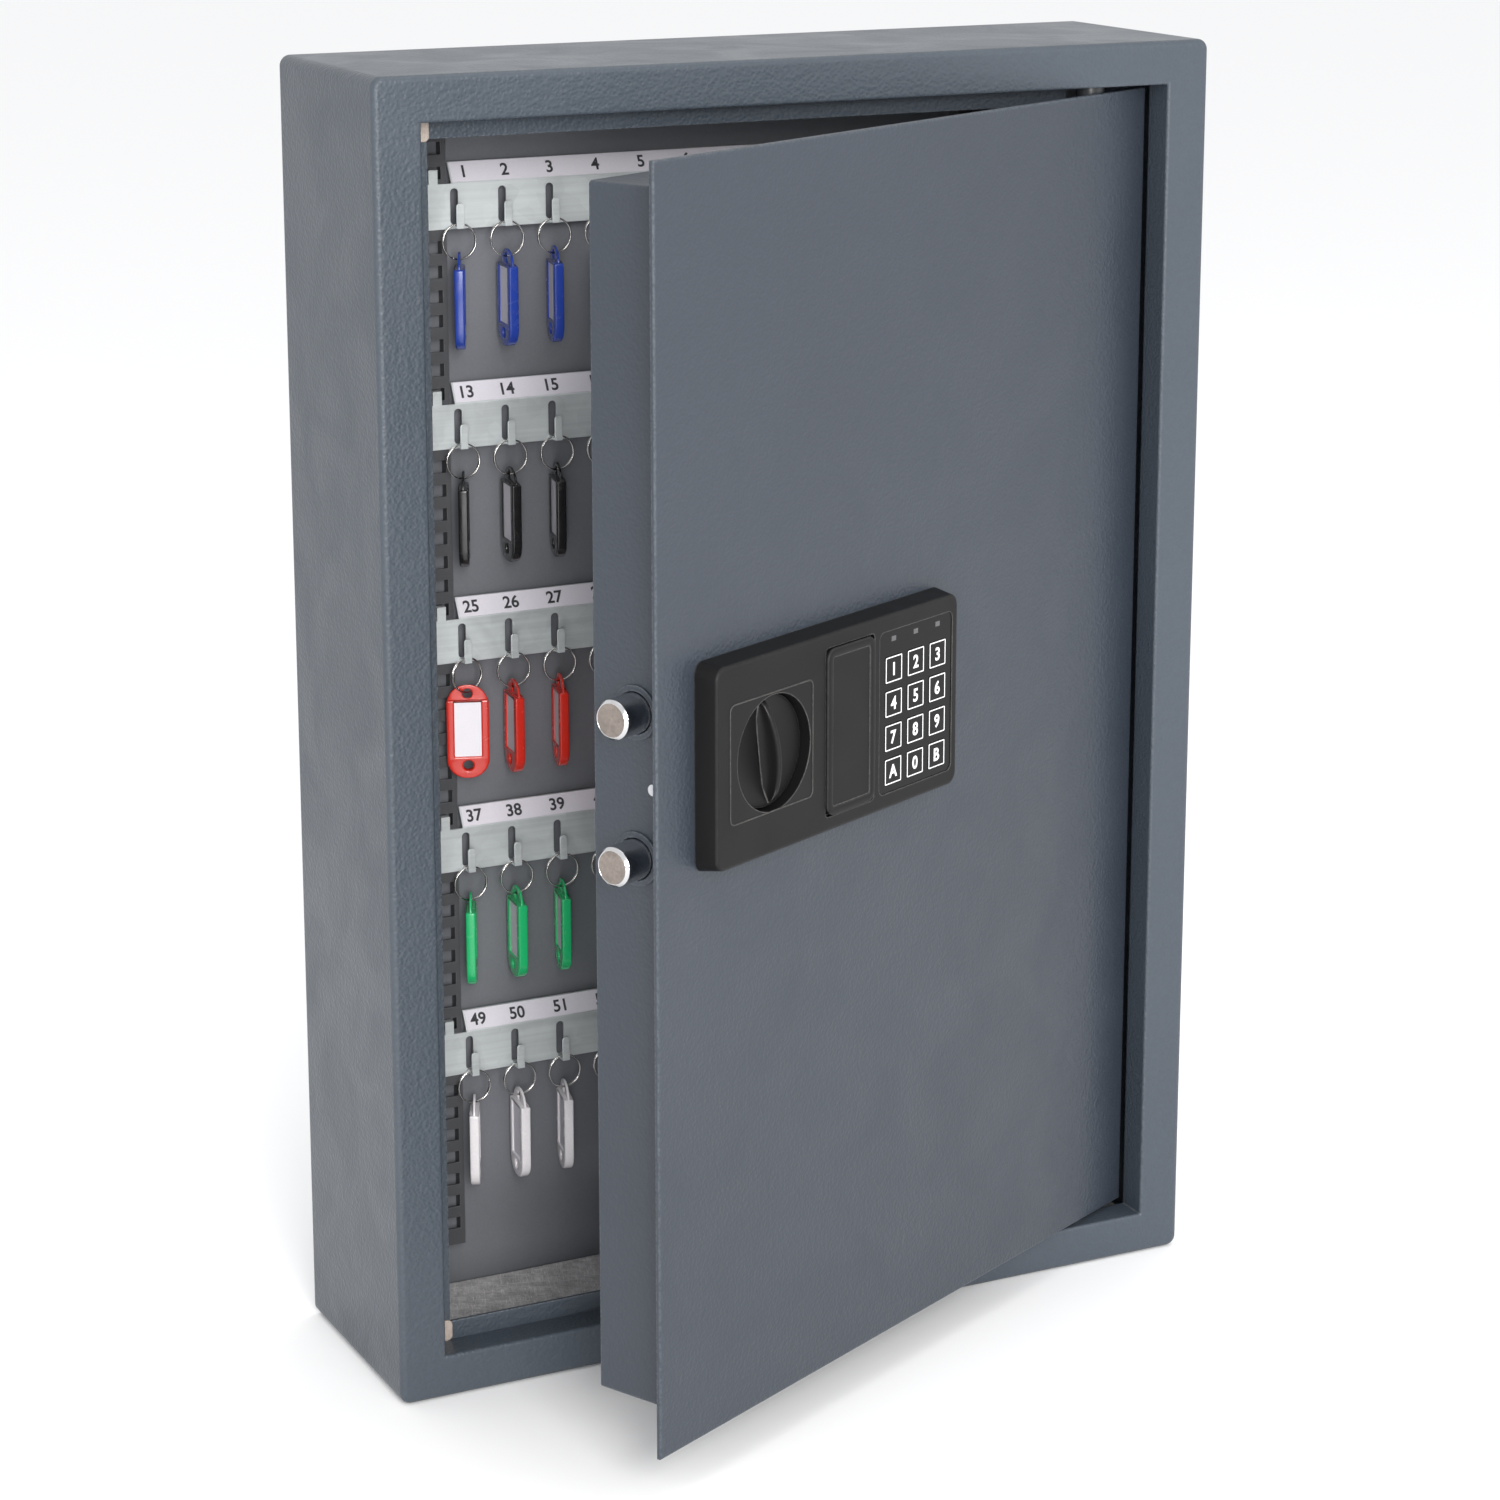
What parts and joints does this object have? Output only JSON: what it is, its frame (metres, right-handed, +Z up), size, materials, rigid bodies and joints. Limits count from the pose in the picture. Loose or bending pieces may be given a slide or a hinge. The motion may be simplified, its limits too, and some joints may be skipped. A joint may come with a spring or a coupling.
{
  "type": "key cabinet",
  "caption": "Wall-hung steel key cabinet with rows of numbered hooks and coloured key tags, a hinged door, an electronic keypad lock, a turning knob and round lock bolts.",
  "frame": {"origin": "middle of the four wall-fixing holes, on the outer face of the back panel", "axes": "+Z up, +X to the right seen from the front, the front and its door face -Y, the wall is at +Y"},
  "size_m": [0.38, 0.236, 0.55],
  "materials": {
    "cabinet_paint": "fine textured grey powder coat",
    "door_paint": "fine textured grey powder coat",
    "rail_paint": "satin dark grey",
    "filler": "set filler",
    "zinc_bracket": "zinc plated",
    "galvanised": "bright galvanised sheet",
    "label_white": "printed card",
    "felt": "mottled grey felt",
    "steel_pin": "plain steel",
    "chrome": "polished",
    "bush_black": "black nylon",
    "panel_black": "satin black",
    "keypad_gloss": "glossy black",
    "light_grey": "unlit window",
    "board_green": "solder resist",
    "battery_wrap": "shrink wrap",
    "brass": "turned brass",
    "ring_steel": "nickel plated wire",
    "tag_blue": "moulded",
    "tag_black": "moulded",
    "tag_red": "moulded",
    "tag_green": "moulded",
    "tag_white": "moulded"
  },
  "bodies": {
    "cabinet": {"cabinet_shell": "cabinet_paint", "back_panel": "rail_paint", "door_stop_frame": "cabinet_paint", "corner_pads": "filler", "hinge_brackets": "zinc_bracket", "hinge_bushes": "bush_black", "slotted_rails": "rail_paint", "number_strips": "label_white", "felt_mat": "felt", "hook_bar_1": "galvanised", "hook_bar_2": "galvanised", "hook_bar_3": "galvanised", "hook_bar_4": "galvanised", "hook_bar_5": "galvanised"},
    "door": {"door_plate": "door_paint", "door_tray": "door_paint", "door_back_cover": "door_paint", "back_cover_screws": "zinc_bracket", "hinge_pins": "steel_pin", "bolt_bushes": "bush_black", "side_rivet": "steel_pin", "carriage_guides": "steel_pin", "solenoid_body": "zinc_bracket", "lock_housing": "panel_black", "keypad_frame": "keypad_gloss", "indicator_windows": "light_grey", "emergency_cylinder": "brass", "circuit_board": "board_green", "battery_box": "panel_black", "batteries": "battery_wrap"},
    "bolts": {"lock_bolts": "chrome", "bolt_carriage": "zinc_bracket"},
    "knob": {"knob": "panel_black", "spindle_cam": "steel_pin"},
    "emergency_cover": {"emergency_cover": "panel_black"},
    "emergency_plug": {"emergency_plug": "brass"},
    "plunger": {"solenoid_plunger": "steel_pin"},
    "battery_lid": {"battery_lid": "panel_black"},
    "key_1": {"key_1": "keypad_gloss"},
    "key_2": {"key_2": "keypad_gloss"},
    "key_3": {"key_3": "keypad_gloss"},
    "key_4": {"key_4": "keypad_gloss"},
    "key_5": {"key_5": "keypad_gloss"},
    "key_6": {"key_6": "keypad_gloss"},
    "key_7": {"key_7": "keypad_gloss"},
    "key_8": {"key_8": "keypad_gloss"},
    "key_9": {"key_9": "keypad_gloss"},
    "key_0": {"key_0": "keypad_gloss"},
    "key_a": {"key_a": "keypad_gloss"},
    "key_b": {"key_b": "keypad_gloss"},
    "key_row_1": {"key_rings_row_1": "ring_steel", "key_tags_row_1": "tag_blue"},
    "key_row_2": {"key_rings_row_2": "ring_steel", "key_tags_row_2": "tag_black"},
    "key_row_3": {"key_rings_row_3": "ring_steel", "key_tags_row_3": "tag_red"},
    "key_row_4": {"key_rings_row_4": "ring_steel", "key_tags_row_4": "tag_green"},
    "key_row_5": {"key_rings_row_5": "ring_steel", "key_tags_row_5": "tag_white"}
  },
  "joints": [
    {"name": "door_hinge", "type": "hinge", "parent": "cabinet", "child": "door", "pos_m": [0.1375, -0.0945, 0], "axis": [0, 0, 1], "range_deg": [-26, 84]},
    {"name": "bolt_slide", "type": "slide", "parent": "door", "child": "bolts", "axis": [0.8988, 0.4384, 0], "range_m": [0, 0.013]},
    {"name": "knob_turn", "type": "hinge", "parent": "door", "child": "knob", "pos_m": [-0.07855, -0.21156, 0.0215], "axis": [-0.4384, 0.8988, 0], "range_deg": [0, 75]},
    {"name": "emergency_cover_pull", "type": "slide", "parent": "door", "child": "emergency_cover", "axis": [0.4384, -0.8988, 0], "range_m": [0, 0.01]},
    {"name": "emergency_plug_turn", "type": "hinge", "parent": "door", "child": "emergency_plug", "pos_m": [-0.03625, -0.18536, 0.0215], "axis": [-0.4384, 0.8988, 0], "range_deg": [0, 90]},
    {"name": "plunger_drop", "type": "slide", "parent": "door", "child": "plunger", "axis": [0, 0, -1], "range_m": [0, 0.005], "stiffness_N_per_m": 200, "springref_m": -0.0004},
    {"name": "battery_lid_lift", "type": "slide", "parent": "door", "child": "battery_lid", "axis": [-0.4384, 0.8988, 0], "range_m": [0, 0.008]},
    {"name": "key_1_press", "type": "slide", "parent": "door", "child": "key_1", "axis": [-0.4384, 0.8988, 0], "range_m": [0, 0.0004], "stiffness_N_per_m": 1500},
    {"name": "key_2_press", "type": "slide", "parent": "door", "child": "key_2", "axis": [-0.4384, 0.8988, 0], "range_m": [0, 0.0004], "stiffness_N_per_m": 1500},
    {"name": "key_3_press", "type": "slide", "parent": "door", "child": "key_3", "axis": [-0.4384, 0.8988, 0], "range_m": [0, 0.0004], "stiffness_N_per_m": 1500},
    {"name": "key_4_press", "type": "slide", "parent": "door", "child": "key_4", "axis": [-0.4384, 0.8988, 0], "range_m": [0, 0.0004], "stiffness_N_per_m": 1500},
    {"name": "key_5_press", "type": "slide", "parent": "door", "child": "key_5", "axis": [-0.4384, 0.8988, 0], "range_m": [0, 0.0004], "stiffness_N_per_m": 1500},
    {"name": "key_6_press", "type": "slide", "parent": "door", "child": "key_6", "axis": [-0.4384, 0.8988, 0], "range_m": [0, 0.0004], "stiffness_N_per_m": 1500},
    {"name": "key_7_press", "type": "slide", "parent": "door", "child": "key_7", "axis": [-0.4384, 0.8988, 0], "range_m": [0, 0.0004], "stiffness_N_per_m": 1500},
    {"name": "key_8_press", "type": "slide", "parent": "door", "child": "key_8", "axis": [-0.4384, 0.8988, 0], "range_m": [0, 0.0004], "stiffness_N_per_m": 1500},
    {"name": "key_9_press", "type": "slide", "parent": "door", "child": "key_9", "axis": [-0.4384, 0.8988, 0], "range_m": [0, 0.0004], "stiffness_N_per_m": 1500},
    {"name": "key_0_press", "type": "slide", "parent": "door", "child": "key_0", "axis": [-0.4384, 0.8988, 0], "range_m": [0, 0.0004], "stiffness_N_per_m": 1500},
    {"name": "key_a_press", "type": "slide", "parent": "door", "child": "key_a", "axis": [-0.4384, 0.8988, 0], "range_m": [0, 0.0004], "stiffness_N_per_m": 1500},
    {"name": "key_b_press", "type": "slide", "parent": "door", "child": "key_b", "axis": [-0.4384, 0.8988, 0], "range_m": [0, 0.0004], "stiffness_N_per_m": 1500},
    {"name": "key_row_1_swing", "type": "hinge", "parent": "cabinet", "child": "key_row_1", "pos_m": [0, -0.0146, 0.20355], "axis": [-1, 0, 0], "range_deg": [0, 25]},
    {"name": "key_row_2_swing", "type": "hinge", "parent": "cabinet", "child": "key_row_2", "pos_m": [0, -0.0146, 0.1104], "axis": [-1, 0, 0], "range_deg": [0, 25]},
    {"name": "key_row_3_swing", "type": "hinge", "parent": "cabinet", "child": "key_row_3", "pos_m": [0, -0.0146, 0.01725], "axis": [-1, 0, 0], "range_deg": [0, 25]},
    {"name": "key_row_4_swing", "type": "hinge", "parent": "cabinet", "child": "key_row_4", "pos_m": [0, -0.0146, -0.0759], "axis": [-1, 0, 0], "range_deg": [0, 25]},
    {"name": "key_row_5_swing", "type": "hinge", "parent": "cabinet", "child": "key_row_5", "pos_m": [0, -0.0146, -0.16905], "axis": [-1, 0, 0], "range_deg": [0, 25]}
  ],
  "couplings": [
    {"joint": "knob_turn", "follows": "bolt_slide", "rad_per_m": 100.69}
  ]
}
